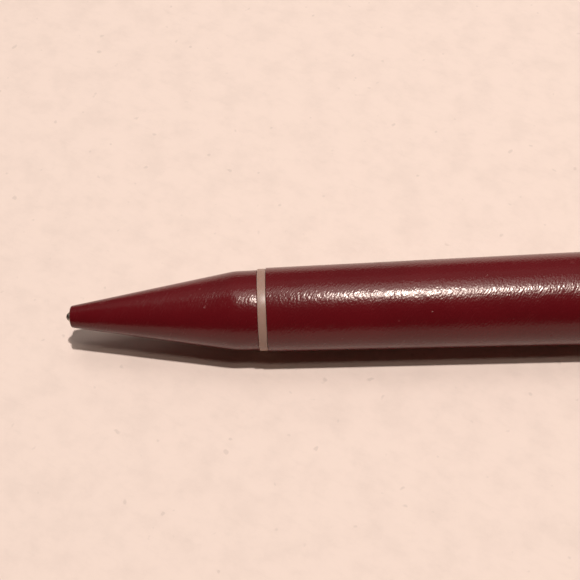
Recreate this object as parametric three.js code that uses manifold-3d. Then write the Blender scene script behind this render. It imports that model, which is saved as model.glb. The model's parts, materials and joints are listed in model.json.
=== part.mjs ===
// A click ballpoint pen: a tapered barrel, a screw-off nose cone with a thin trim ring behind it, a push
// button with a tooth-and-rotor latch, a refill with its return spring, and a sprung pocket clip.
//
// Lengths are in millimetres. Every piece is first placed in the pen's own frame: the axis runs along +X, and
// "s" is the distance behind the nose cone's front face. The last lines lay the pen on its side, as it comes to
// rest on a table: on the barrel's lowest facet and on the lower edge of the clip's lug.
import * as THREE from "three";
import { mergeVertices } from "three/addons/utils/BufferGeometryUtils.js";
import Module from "manifold-3d";

const wasm = await Module();
wasm.setup();

// ---------------------------------------------------------------- driving dimensions

const SIDES = 32; // facets round the big turned pieces
const SMALL_SIDES = 20; // facets round the thin ones
const DEG = Math.PI / 180;
const FIT = 0.02; // gap between two pieces that are pushed together
const SEAM = 0.03; // gap at a seam that can be seen

// Nose cone
const CONE_TIP_RADIUS = 1.2; // where the cone's side would meet its front face
const CONE_TIP_ROUND = 0.3;
const CONE_SLOPE = 0.1747; // rise of the side per millimetre
const CONE_SHOULDER = 18.28; // the taper ends here and the short collar starts
const CONE_REAR = 20.8;
const CONE_REAR_RADIUS = 4.43;
const CONE_HOLE_RADIUS = 0.76;
const SPRING_SEAT = 9.0; // the step inside the cone that the spring stands on

// Screw thread between cone and barrel: a round-crested moulded thread, right-handed
const THREAD_PITCH = 1.25;
const THREAD_DEPTH = 0.4;
const THREAD_ROOT = 3.35;
const THREAD_GAP = 0.12; // radial clearance of the barrel's thread
const THREAD_START = 22.6;
const THREAD_END = 27.3;
const SPIGOT_END = 28.2;

// Trim ring
const RING_WIDTH = 0.92;
const RING_RADIUS = 4.58;
const RING_BORE = 3.86;

// Barrel
const BARREL_FRONT = CONE_REAR + RING_WIDTH + 2 * SEAM;
const BARREL_FRONT_RADIUS = 4.65;
const BARREL_TAPER_END = 66;
const BARREL_TAPER = 0.0145; // rise of the side per millimetre, up to the end of the taper
const BARREL_RADIUS = 5.33; // widest, from just past the taper to near the rear
const BARREL_REAR = 126;
const BARREL_REAR_RADIUS = 5.15;
const BARREL_BORE = 3.6;

// Refill
const BALL_RADIUS = 0.5;
const BALL_CENTRE = -0.04; // the ball and the lip round it stand out of the cone at rest
const POINT_NOSE_RADIUS = 0.7;
const POINT_BODY_RADIUS = 1.15;
const POINT_BODY_END = 13.6;
const POINT_STEM_RADIUS = 0.9;
const POINT_STEM_END = 18;
const HOLDER_FLANGE = 24; // the spring pushes on this face
const HOLDER_FLANGE_RADIUS = 2;
const TUBE_START = 25.1;
const TUBE_END = 106;
const TUBE_RADIUS = 1.5;
const TUBE_BORE = 1.06;
const INK_END = 92;
const SPRING_RADIUS = 1.7; // to the middle of the wire
const WIRE_RADIUS = 0.18;

// Latch: the toothed thrust tube pushes the rotor, whose ribs run between the barrel's four stops
const RIB_TIP = 114; // rearmost point of the rotor's ribs at rest
const RIB_LENGTH = 3.4;
const RIB_WIDTH = 20 * DEG;
const RIB_RADIUS = 3.4;
const STOP_WIDTH = 25 * DEG;
const STOP_RADIUS = 2.76; // inner face of the stops
const STOP_FRONT = 111; // middle of a stop's slanted front end
const STOP_REAR = 119.5;
const TOOTH_COUNT = 8;
const TOOTH_DEPTH = 1;
const TOOTH_LEAD = 2 * DEG; // how far past a tooth's crest the rib's tip sits at rest
const HALF_TOOTH = Math.PI / TOOTH_COUNT;
const FLANK = TOOTH_DEPTH / HALF_TOOTH; // rise of a tooth's flank per radian
const CREST_ANGLE = -2.25 * DEG; // a crest, measured from the middle of a groove
const TOOTH_GAP = 0.1;
const LUG_WIDTH = 62 * DEG; // the thrust tube's lugs, each filling the groove between two stops
const THRUST_RADIUS = 2.68;
const THRUST_BORE = 2;
const PILOT_RADIUS = 1.85;

// Rear end
const COLLAR_REAR = 131;
const COLLAR_BORE = 3.2;
const BUTTON_FRONT = 124.6;
const BUTTON_REAR = 139.96;
const BUTTON_RADIUS = 3.08;

// Clip: "height" is measured from the pen's axis, "half width" across the clip
const CLIP_TOP = 8.2;
const CLIP_UNDERSIDE = 6.9;
const CLIP_HALF_WIDTH = 1.8;
const CLIP_FRONT = 90.5;
const CLIP_SHOULDER = 126.3;
const LUG_FRONT = CLIP_SHOULDER + 0.2;
const LUG_REAR = 130.6;
const LUG_TOP = 8.6;
const TONGUE_END = 129.4;

// ---------------------------------------------------------------- helpers

// A turned piece: an outline of [s, radius] points, closed on itself or ending on the axis, spun round the axis.
// The first facet is centred on the axis' underside unless another start angle is given.
function turned(outline, sides = SIDES, start = Math.PI / sides) {
  const points = outline.map(([s, radius]) => new THREE.Vector2(radius, s));
  return new THREE.LatheGeometry(points, sides, start).rotateZ(-Math.PI / 2);
}

// The closed outline of a tube between two lists of [s, radius] points that both run from front to rear.
function shell(outer, inner) {
  return [...outer, ...[...inner].reverse(), outer[0]];
}

// Moves every point of a geometry: change(s, radius, angle) gives its new [s, radius].
function reshape(geometry, change) {
  const position = geometry.getAttribute("position");
  for (let i = 0; i < position.count; i++) {
    const angle = Math.atan2(position.getZ(i), position.getY(i));
    const radius = Math.hypot(position.getY(i), position.getZ(i));
    const [s, r] = change(position.getX(i), radius, angle);
    position.setXYZ(i, s, r * Math.cos(angle), r * Math.sin(angle));
  }
  return geometry;
}

// A shape drawn across the pen (its x is the pen's Y, its y is Z), extruded from one s to another.
function extrudedAlong(shape, from, to, curveSegments = 4) {
  const settings = { depth: to - from, bevelEnabled: false, curveSegments };
  const axes = [new THREE.Vector3(0, 1, 0), new THREE.Vector3(0, 0, 1), new THREE.Vector3(1, 0, 0)];
  return new THREE.ExtrudeGeometry(shape, settings)
    .applyMatrix4(new THREE.Matrix4().makeBasis(...axes))
    .translate(from, 0, 0);
}

// A slice of a ring, centred on an angle.
function sector(inner, outer, middle, width, from, to) {
  const shape = new THREE.Shape();
  shape.absarc(0, 0, outer, middle - width / 2, middle + width / 2, false);
  shape.absarc(0, 0, inner, middle + width / 2, middle - width / 2, true);
  shape.closePath();
  return extrudedAlong(shape, from, to);
}

// A side view in the clip's plane, [s, height], extruded across the clip by a half width each way.
function acrossClip(shape, halfWidth, curveSegments = 5) {
  const settings = { depth: 2 * halfWidth, bevelEnabled: false, curveSegments };
  return new THREE.ExtrudeGeometry(shape, settings).translate(0, 0, -halfWidth);
}

function solidOf(geometry) {
  const bare = geometry.clone();
  bare.deleteAttribute("normal");
  bare.deleteAttribute("uv");
  const merged = mergeVertices(bare, 1e-4);
  return new wasm.Manifold(
    new wasm.Mesh({
      numProp: 3,
      vertProperties: merged.getAttribute("position").array,
      triVerts: new Uint32Array(merged.index.array),
    }),
  );
}

function geometryOf(solid) {
  const mesh = solid.getMesh();
  return new THREE.BufferGeometry()
    .setAttribute("position", new THREE.BufferAttribute(new Float32Array(mesh.vertProperties), 3))
    .setIndex(new THREE.BufferAttribute(new Uint32Array(mesh.triVerts), 1));
}

function joined(geometries) {
  return geometryOf(geometries.map(solidOf).reduce((a, b) => a.add(b)));
}

const quarters = [0, 1, 2, 3].map((k) => (k * Math.PI) / 2);

// Height of the round-crested thread, from 0 at its root to 1 at its crest.
const threadWave = (s, angle) => 0.5 + 0.5 * Math.cos(2 * Math.PI * (s / THREAD_PITCH) - angle);

// 0 outside the threaded stretch, rising to 1 over half a pitch at each end.
const threadRamp = (s) =>
  THREE.MathUtils.clamp((Math.min(s - THREAD_START, THREAD_END - s) / THREAD_PITCH) * 2, 0, 1);

// Rows of points that are close enough together to carry the thread.
function threadRows(radius) {
  const count = Math.round((6 * (THREAD_END - THREAD_START)) / THREAD_PITCH);
  return Array.from({ length: count + 1 }, (_, i) => [
    THREE.MathUtils.lerp(THREAD_START, THREAD_END, i / count),
    radius,
  ]);
}

// ---------------------------------------------------------------- materials

const burgundy = new THREE.MeshStandardMaterial({ color: 0x5a1219, roughness: 0.35, metalness: 0 });
const ivory = new THREE.MeshStandardMaterial({ color: 0xe9e2d6, roughness: 0.4, metalness: 0 });
const natural = new THREE.MeshStandardMaterial({ color: 0xdcd8cc, roughness: 0.5, metalness: 0 });
const nickel = new THREE.MeshStandardMaterial({ color: 0xb9b3a4, roughness: 0.3, metalness: 1 });
const steel = new THREE.MeshStandardMaterial({ color: 0x9a9a98, roughness: 0.3, metalness: 1 });
const ink = new THREE.MeshStandardMaterial({ color: 0x10152e, roughness: 0.25, metalness: 0 });

// ---------------------------------------------------------------- shells

function noseCone() {
  const side = (s) => CONE_TIP_RADIUS + CONE_SLOPE * s;
  const outer = [
    [0, CONE_TIP_RADIUS - CONE_TIP_ROUND],
    [CONE_TIP_ROUND * 0.3, CONE_TIP_RADIUS - CONE_TIP_ROUND * 0.28],
    [CONE_TIP_ROUND, side(CONE_TIP_ROUND)],
    [CONE_SHOULDER, side(CONE_SHOULDER)],
    [CONE_REAR, CONE_REAR_RADIUS],
    [CONE_REAR, THREAD_ROOT],
    ...threadRows(THREAD_ROOT),
    [SPIGOT_END - 0.3, THREAD_ROOT],
    [SPIGOT_END, THREAD_ROOT - 0.3],
  ];
  const inner = [
    [0, CONE_HOLE_RADIUS],
    [2.6, CONE_HOLE_RADIUS],
    [3.4, 1.3],
    [SPRING_SEAT, 1.3],
    [SPRING_SEAT, 2.12],
    [12, 2.2],
    [18, 2.6],
    [SPIGOT_END, 2.6],
  ];
  const raise = (s, angle) => THREAD_DEPTH * threadRamp(s) * threadWave(s, angle);
  return reshape(turned(shell(outer, inner)), (s, radius, angle) =>
    Math.abs(radius - THREAD_ROOT) < 0.01 ? [s, radius + raise(s, angle)] : [s, radius],
  );
}

function trimRing() {
  const front = CONE_REAR + SEAM;
  const rear = front + RING_WIDTH;
  const edge = 0.08;
  const outer = [
    [front, RING_RADIUS - edge],
    [front + edge, RING_RADIUS],
    [rear - edge, RING_RADIUS],
    [rear, RING_RADIUS - edge],
  ];
  return turned(shell(outer, [[front, RING_BORE], [rear, RING_BORE]]));
}

function barrel() {
  const open = THREAD_ROOT + THREAD_DEPTH + THREAD_GAP;
  const outer = [
    [BARREL_FRONT, BARREL_FRONT_RADIUS - 0.1],
    [BARREL_FRONT + 0.1, BARREL_FRONT_RADIUS],
    [BARREL_TAPER_END, BARREL_FRONT_RADIUS + BARREL_TAPER * (BARREL_TAPER_END - BARREL_FRONT)],
    [BARREL_TAPER_END + 4, BARREL_RADIUS - 0.02],
    [BARREL_TAPER_END + 9, BARREL_RADIUS],
    [BARREL_REAR - 8, BARREL_RADIUS],
    [BARREL_REAR - 2, BARREL_RADIUS - 0.05],
    [BARREL_REAR, BARREL_REAR_RADIUS],
  ];
  const inner = [
    [BARREL_FRONT, open + 0.1],
    [THREAD_START - 0.2, open],
    ...threadRows(open),
    [SPIGOT_END + 0.2, open],
    [SPIGOT_END + 0.4, BARREL_BORE],
    [BARREL_REAR, BARREL_BORE],
  ];
  const sink = (s, angle) => THREAD_DEPTH * threadRamp(s) * (1 - threadWave(s, angle));
  const tube = reshape(turned(shell(outer, inner)), (s, radius, angle) =>
    Math.abs(radius - open) < 0.01 ? [s, radius - sink(s, angle)] : [s, radius],
  );
  const stops = quarters.map((quarter) => {
    const middle = quarter + Math.PI / 4;
    const stop = sector(STOP_RADIUS, BARREL_BORE + 0.4, middle, STOP_WIDTH, STOP_FRONT, STOP_REAR);
    return reshape(stop, (s, radius, angle) => {
      const past = Math.atan2(Math.sin(angle - middle), Math.cos(angle - middle));
      return [s < STOP_FRONT + 1 ? STOP_FRONT + FLANK * past : s, radius];
    });
  });
  return joined([tube, ...stops]);
}

function endCollar() {
  const flange = BARREL_REAR + SEAM;
  const outer = [
    [STOP_REAR + 0.3, BARREL_BORE - FIT],
    [flange, BARREL_BORE - FIT],
    [flange, BARREL_REAR_RADIUS],
    [COLLAR_REAR - 1.4, BARREL_REAR_RADIUS - 0.12],
    [COLLAR_REAR - 0.4, BARREL_REAR_RADIUS - 0.5],
    [COLLAR_REAR, BARREL_REAR_RADIUS - 1],
  ];
  const inner = [
    [STOP_REAR + 0.3, COLLAR_BORE],
    [COLLAR_REAR, COLLAR_BORE],
  ];
  const lug = new THREE.Shape([
    new THREE.Vector2(LUG_FRONT, 4.3),
    new THREE.Vector2(LUG_REAR, 4.3),
    new THREE.Vector2(LUG_REAR, LUG_TOP - 1.6),
    new THREE.Vector2(LUG_REAR - 1.2, LUG_TOP),
    new THREE.Vector2(LUG_FRONT, LUG_TOP),
  ]);
  const pocketLength = TONGUE_END + 0.2 - LUG_FRONT;
  const pocket = new THREE.BoxGeometry(pocketLength + 1, 1.3, 2.9);
  pocket.translate(LUG_FRONT + pocketLength / 2 - 0.5, 7.4, 0);
  const body = solidOf(turned(shell(outer, inner)))
    .add(solidOf(acrossClip(lug, CLIP_HALF_WIDTH)));
  return geometryOf(body.subtract(solidOf(pocket)));
}

// ---------------------------------------------------------------- clip

function clip() {
  const side = new THREE.Shape();
  side.moveTo(CLIP_SHOULDER, CLIP_TOP);
  side.lineTo(CLIP_FRONT + 6.5, CLIP_TOP);
  side.quadraticCurveTo(CLIP_FRONT + 1.5, CLIP_TOP, CLIP_FRONT, 6.9);
  side.lineTo(CLIP_FRONT, 6.4);
  side.quadraticCurveTo(CLIP_FRONT + 1.2, BARREL_RADIUS + 0.1, CLIP_FRONT + 3, BARREL_RADIUS + 0.1);
  side.quadraticCurveTo(CLIP_FRONT + 4.6, BARREL_RADIUS + 0.1, CLIP_FRONT + 6.5, CLIP_UNDERSIDE);
  side.lineTo(CLIP_SHOULDER, CLIP_UNDERSIDE);
  side.lineTo(CLIP_SHOULDER, 6.95);
  side.lineTo(TONGUE_END, 6.95);
  side.lineTo(TONGUE_END, 7.85);
  side.lineTo(CLIP_SHOULDER, 7.85);
  side.closePath();
  // Seen from above, the arm narrows a little towards a round front end, and the tongue is narrower still.
  const frontHalf = CLIP_HALF_WIDTH - 0.2;
  const plan = new THREE.Shape();
  plan.moveTo(TONGUE_END, -1.25);
  plan.lineTo(TONGUE_END, 1.25);
  plan.lineTo(CLIP_SHOULDER, 1.25);
  plan.lineTo(CLIP_SHOULDER, CLIP_HALF_WIDTH);
  plan.lineTo(CLIP_FRONT + frontHalf, frontHalf);
  plan.absarc(CLIP_FRONT + frontHalf, 0, frontHalf, Math.PI / 2, (3 * Math.PI) / 2, false);
  plan.lineTo(CLIP_SHOULDER, -CLIP_HALF_WIDTH);
  plan.lineTo(CLIP_SHOULDER, -1.25);
  plan.closePath();
  const footprint = new THREE.ExtrudeGeometry(plan, { depth: 5, bevelEnabled: false, curveSegments: 8 })
    .rotateX(-Math.PI / 2)
    .translate(0, 4.5, 0);
  return geometryOf(solidOf(acrossClip(side, CLIP_HALF_WIDTH)).intersect(solidOf(footprint)));
}

// ---------------------------------------------------------------- push button and latch

function pushButton() {
  const outer = [
    [BUTTON_FRONT, BUTTON_RADIUS],
    [BUTTON_REAR - 1.1, BUTTON_RADIUS],
    [BUTTON_REAR - 0.5, BUTTON_RADIUS - 0.18],
    [BUTTON_REAR - 0.12, BUTTON_RADIUS - 0.55],
    [BUTTON_REAR, BUTTON_RADIUS - 1],
    [BUTTON_REAR, 0],
  ];
  const socket = THRUST_RADIUS + FIT;
  return turned([[BUTTON_FRONT + 12.4, 0], [BUTTON_FRONT + 12.4, socket], [BUTTON_FRONT, socket], ...outer]);
}

// The tube's front edge is a ring of teeth; s grows from each crest to the valleys on either side of it.
function thrustTube() {
  const crest = RIB_TIP - FLANK * TOOTH_LEAD + TOOTH_GAP;
  const rear = BUTTON_FRONT + 12.3;
  const outer = [[crest, THRUST_RADIUS], [crest + 3, THRUST_RADIUS], [rear, THRUST_RADIUS]];
  const inner = [[crest, THRUST_BORE], [crest + 3, THRUST_BORE], [rear, THRUST_BORE]];
  const teeth = 6 * TOOTH_COUNT;
  const tube = reshape(turned(shell(outer, inner), teeth, CREST_ANGLE - Math.PI / 2), (s, radius, angle) => {
    const turns = (angle - CREST_ANGLE) / (2 * HALF_TOOTH);
    const fromCrest = Math.abs(turns - Math.round(turns)) * 2;
    return [s < crest + 1 ? s + TOOTH_DEPTH * fromCrest : s, radius];
  });
  const lugs = quarters.map((middle) =>
    sector(THRUST_RADIUS - 0.4, RIB_RADIUS, middle, LUG_WIDTH, STOP_REAR - 2.5, STOP_REAR),
  );
  return joined([tube, ...lugs]);
}

function camRotor() {
  const ribFront = RIB_TIP - RIB_LENGTH;
  const socketEnd = 107.25;
  const body = turned(
    [
      [socketEnd, 0],
      [socketEnd, 1.62],
      [103, 1.62],
      [103, 2],
      [103.3, 2.2],
      [ribFront, 2.2],
      [ribFront, PILOT_RADIUS],
      [RIB_TIP + 5, PILOT_RADIUS],
      [RIB_TIP + 5.5, PILOT_RADIUS - 0.5],
      [RIB_TIP + 5.5, 0],
    ],
    SMALL_SIDES,
  );
  const ribs = quarters.map((quarter) => {
    const tip = quarter + CREST_ANGLE + TOOTH_LEAD;
    const rib = sector(PILOT_RADIUS - 0.4, RIB_RADIUS, tip - RIB_WIDTH / 2, RIB_WIDTH, ribFront - 0.4, RIB_TIP);
    return reshape(rib, (s, radius, angle) => {
      const behind = Math.atan2(Math.sin(angle - tip), Math.cos(angle - tip));
      return [s > RIB_TIP - 1 ? RIB_TIP + FLANK * behind : s, radius];
    });
  });
  return joined([body, ...ribs]);
}

// ---------------------------------------------------------------- refill

function writingBall() {
  return new THREE.SphereGeometry(BALL_RADIUS, 16, 10).translate(BALL_CENTRE, 0, 0);
}

function refillPoint() {
  const outer = [
    [BALL_CENTRE - 0.17, 0.56],
    [BALL_CENTRE + 1.4, POINT_NOSE_RADIUS],
    [7, POINT_NOSE_RADIUS],
    [7.8, POINT_BODY_RADIUS],
    [POINT_BODY_END, POINT_BODY_RADIUS],
    [POINT_BODY_END, POINT_STEM_RADIUS],
    [POINT_STEM_END, POINT_STEM_RADIUS],
  ];
  const inner = [
    [BALL_CENTRE - 0.17, 0.485],
    [BALL_CENTRE, 0.53],
    [BALL_CENTRE + 0.18, 0.53],
    [BALL_CENTRE + 0.58, 0.2],
    [2, 0.2],
    [2.4, 0.35],
    [POINT_STEM_END, 0.35],
  ];
  return turned(shell(outer, inner), SMALL_SIDES);
}

function pointHolder() {
  const outer = [
    [POINT_BODY_END + SEAM, 1.3],
    [POINT_BODY_END + 0.4, 1.4],
    [HOLDER_FLANGE, 1.4],
    [HOLDER_FLANGE, HOLDER_FLANGE_RADIUS],
    [TUBE_START - 0.1, HOLDER_FLANGE_RADIUS],
    [TUBE_START - 0.1, TUBE_BORE - FIT],
    [TUBE_START + 5, TUBE_BORE - FIT],
  ];
  const inner = [
    [POINT_BODY_END + SEAM, POINT_STEM_RADIUS + FIT],
    [POINT_STEM_END + 0.2, POINT_STEM_RADIUS + FIT],
    [POINT_STEM_END + 0.6, 0.5],
    [TUBE_START + 5, 0.5],
  ];
  return turned(shell(outer, inner), SMALL_SIDES);
}

function refillTube() {
  const ends = [TUBE_START, TUBE_END];
  return turned(shell(ends.map((s) => [s, TUBE_RADIUS]), ends.map((s) => [s, TUBE_BORE])), SMALL_SIDES);
}

// The ink fills the tube behind the holder's stub and ends in a shallow hollow.
function inkColumn() {
  const front = TUBE_START + 5.1;
  const radius = TUBE_BORE - FIT;
  return turned([[front, 0], [front, radius], [INK_END, radius], [INK_END - 0.4, 0]], SMALL_SIDES);
}

function tailPlug() {
  const outer = [
    [TUBE_END - 4, TUBE_BORE - FIT],
    [TUBE_END + FIT, TUBE_BORE - FIT],
    [TUBE_END + FIT, TUBE_RADIUS],
    [TUBE_END + 0.9, TUBE_RADIUS],
    [TUBE_END + 1.1, TUBE_RADIUS - 0.2],
  ];
  const vent = [[TUBE_END - 4, 0.35], [TUBE_END + 1.1, 0.35]];
  return turned(shell(outer, vent), SMALL_SIDES);
}

// The wire's middle line: one and a half close turns at each end and open turns between them.
class SpringLine extends THREE.Curve {
  getPoint(t, target = new THREE.Vector3()) {
    const closeTurns = 1.5;
    const openTurns = 6;
    const closePitch = 2 * WIRE_RADIUS + 0.06;
    const front = SPRING_SEAT + 0.05 + WIRE_RADIUS;
    const rear = HOLDER_FLANGE - 0.05 - WIRE_RADIUS;
    const turns = t * (2 * closeTurns + openTurns);
    const openPitch = (rear - front - 2 * closeTurns * closePitch) / openTurns;
    const open = THREE.MathUtils.clamp(turns - closeTurns, 0, openTurns);
    const s = front + closePitch * (turns - open) + openPitch * open;
    const angle = 2 * Math.PI * turns;
    return target.set(s, SPRING_RADIUS * Math.cos(angle), SPRING_RADIUS * Math.sin(angle));
  }
}

function returnSpring() {
  const wire = new THREE.Shape();
  wire.absarc(0, 0, WIRE_RADIUS, 0, 2 * Math.PI, false);
  const settings = { steps: 9 * 14, extrudePath: new SpringLine(), curveSegments: 3, bevelEnabled: false };
  return new THREE.ExtrudeGeometry(wire, settings);
}

// ---------------------------------------------------------------- assembly

function piece(name, geometry, material) {
  const mesh = new THREE.Mesh(geometry, material);
  mesh.name = name;
  return mesh;
}

// The clip's plane is turned down until the lug's lower edge is level with the barrel's lowest facet.
const restHeight = BARREL_RADIUS * Math.cos(Math.PI / SIDES);
const lugCorner = Math.hypot(LUG_TOP, CLIP_HALF_WIDTH);
const clipDrop = Math.asin(restHeight / lugCorner) - Math.atan2(CLIP_HALF_WIDTH, LUG_TOP);
const clipTurn = Math.PI + clipDrop;

const pen = new THREE.Group();
pen.add(
  piece("nose_cone", noseCone(), burgundy),
  piece("trim_ring", trimRing(), ivory),
  piece("barrel", barrel(), burgundy),
  piece("end_collar", endCollar().rotateX(clipTurn), ivory),
  piece("clip", clip().rotateX(clipTurn), ivory),
  piece("push_button", pushButton(), ivory),
  piece("thrust_tube", thrustTube(), natural),
  piece("cam_rotor", camRotor(), natural),
  piece("writing_ball", writingBall(), steel),
  piece("refill_point", refillPoint(), nickel),
  piece("point_holder", pointHolder(), natural),
  piece("refill_tube", refillTube(), natural),
  piece("ink_column", inkColumn(), ink),
  piece("tail_plug", tailPlug(), natural),
  piece("return_spring", returnSpring(), steel),
);

// The part's origin is under the middle of the pen's outline, on the surface it lies on.
const ballFront = BALL_CENTRE - BALL_RADIUS;
const sideReach = LUG_TOP * Math.cos(clipDrop) + CLIP_HALF_WIDTH * Math.sin(clipDrop);
pen.position.set(-(BUTTON_REAR + ballFront) / 2, (sideReach - restHeight) / 2, restHeight);

export default pen;
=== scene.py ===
"""Looks of a click ballpoint pen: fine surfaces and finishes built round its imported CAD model.

The pen lies on its side along +X with its writing tip to the left. "s" is the distance behind the nose
cone's front face, along the pen's axis, in millimetres; "angle" runs round the axis from +Y towards +Z.
Every surface is worked out with numpy as a function of two parameters and put into its mesh in metres.
"""

import json
import math

import bmesh
import bpy
import numpy as np
from bpy.props import FloatProperty, FloatVectorProperty, IntProperty, PointerProperty
from mathutils import Matrix, Vector

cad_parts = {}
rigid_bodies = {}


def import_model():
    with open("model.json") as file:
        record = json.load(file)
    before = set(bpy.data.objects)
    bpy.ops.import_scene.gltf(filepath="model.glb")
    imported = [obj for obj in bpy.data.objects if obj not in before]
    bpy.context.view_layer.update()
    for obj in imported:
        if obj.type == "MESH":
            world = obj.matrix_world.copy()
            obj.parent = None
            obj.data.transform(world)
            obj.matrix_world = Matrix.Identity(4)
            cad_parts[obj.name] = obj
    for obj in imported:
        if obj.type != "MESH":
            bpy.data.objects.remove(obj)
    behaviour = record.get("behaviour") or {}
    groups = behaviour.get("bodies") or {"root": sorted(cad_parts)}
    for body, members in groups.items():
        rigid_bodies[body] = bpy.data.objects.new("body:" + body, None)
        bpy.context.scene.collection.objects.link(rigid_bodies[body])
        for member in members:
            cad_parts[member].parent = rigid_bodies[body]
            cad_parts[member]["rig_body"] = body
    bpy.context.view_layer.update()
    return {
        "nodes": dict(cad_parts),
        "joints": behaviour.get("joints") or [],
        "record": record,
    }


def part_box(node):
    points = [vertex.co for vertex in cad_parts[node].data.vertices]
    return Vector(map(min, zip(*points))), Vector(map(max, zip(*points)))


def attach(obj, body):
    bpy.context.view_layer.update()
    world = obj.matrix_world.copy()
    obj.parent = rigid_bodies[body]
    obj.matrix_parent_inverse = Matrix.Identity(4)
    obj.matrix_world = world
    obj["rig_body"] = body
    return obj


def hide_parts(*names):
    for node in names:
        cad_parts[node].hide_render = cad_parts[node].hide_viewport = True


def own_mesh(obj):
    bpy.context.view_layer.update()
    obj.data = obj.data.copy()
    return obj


bl_info = {
    "name": "Click Ballpoint Pen",
    "version": (1, 0, 0),
    "blender": (4, 5, 0),
    "location": "3D View > Sidebar > Pen",
    "description": "Builds the fine surfaces, the finishes and the stage of a click ballpoint pen",
    "category": "Object",
}

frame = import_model()

MM = 0.001
DEG = math.pi / 180
SHARP_ANGLE = 35 * DEG  # edges that turn by more than this stay sharp
LEAST_MAP_RADIUS = 0.3  # keeps the UV map open where a turned surface closes on the axis


def millimetre_box(node):
    """The lowest and highest corners of a CAD node, in millimetres."""
    low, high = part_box(node)
    return np.array(low) / MM, np.array(high) / MM


def mount_direction(name):
    """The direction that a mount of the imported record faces."""
    for mount in frame["record"]["mounts"]:
        if mount["name"] == name:
            return Vector(mount["axis"]).normalized()
    raise ValueError(f"the packed record has no mount named {name}")


# The pen's axis, the place of s = 0 and the clip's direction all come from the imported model.
CONE_LOW, CONE_HIGH = millimetre_box("nose_cone")
RING_LOW, RING_HIGH = millimetre_box("trim_ring")
BARREL_LOW, BARREL_HIGH = millimetre_box("barrel")
BUTTON_LOW, BUTTON_HIGH = millimetre_box("push_button")
COLLAR_LOW, COLLAR_HIGH = millimetre_box("end_collar")
CLIP_LOW, CLIP_HIGH = millimetre_box("clip")
TUBE_LOW, TUBE_HIGH = millimetre_box("refill_tube")
TIP_X = CONE_LOW[0]
AXIS_Y, AXIS_Z = (CONE_LOW[1:] + CONE_HIGH[1:]) / 2
CLIP_OUT = mount_direction("clip_face")
CLIP_ANGLE = math.atan2(CLIP_OUT.z, CLIP_OUT.y)


# ---------------------------------------------------------------- sizes and colours a user would change


class PenShape(bpy.types.PropertyGroup):
    """Sizes of the fine surfaces, in millimetres unless a unit says otherwise."""

    sides: IntProperty(
        name="Sides", description="Points round each large turned surface", default=144, min=24, max=512
    )
    edge_round: FloatProperty(
        name="Edge rounding", description="Radius of the moulded edges, in millimetres", default=0.06
    )
    seam: FloatProperty(
        name="Seam", description="Gap where two moulded pieces meet, in millimetres", default=0.02
    )
    thread_pitch: FloatProperty(
        name="Thread pitch", description="Advance of the nose thread per turn, in millimetres", default=1.25
    )
    thread_depth: FloatProperty(
        name="Thread depth", description="Height of the thread's crest, in millimetres", default=0.4
    )
    barrel_radius: FloatProperty(
        name="Barrel radius", description="Widest radius of the barrel, in millimetres",
        default=float(BARREL_HIGH[2] - BARREL_LOW[2]) / 2,
    )
    button_radius: FloatProperty(
        name="Button radius", description="Radius of the push button, in millimetres", default=3.08
    )
    spring_turns: FloatProperty(
        name="Spring turns", description="Turns of wire in the return spring", default=9.0
    )


class PenFinish(bpy.types.PropertyGroup):
    """Colours and surface qualities of the finishes."""

    body_colour: FloatVectorProperty(
        name="Body colour", description="Burgundy of the barrel and the nose cone", subtype="COLOR",
        size=3, min=0, max=1, default=(0.110, 0.0042, 0.0074),
    )
    trim_colour: FloatVectorProperty(
        name="Trim colour", description="Off-white of the ring, collar, clip and button", subtype="COLOR",
        size=3, min=0, max=1, default=(0.36, 0.225, 0.18),
    )
    metal_colour: FloatVectorProperty(
        name="Metal colour", description="Nickel silver of the writing point", subtype="COLOR",
        size=3, min=0, max=1, default=(0.60, 0.56, 0.47),
    )
    ink_colour: FloatVectorProperty(
        name="Ink colour", description="Colour of the ink in its tube", subtype="COLOR",
        size=3, min=0, max=1, default=(0.006, 0.008, 0.03),
    )
    paper_colour: FloatVectorProperty(
        name="Paper colour", description="Colour of the sheet the pen lies on", subtype="COLOR",
        size=3, min=0, max=1, default=(0.83, 0.68, 0.61),
    )
    body_roughness: FloatProperty(
        name="Body roughness", description="Roughness of the burgundy plastic where unworn",
        default=0.21, min=0, max=1, subtype="FACTOR",
    )


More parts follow.
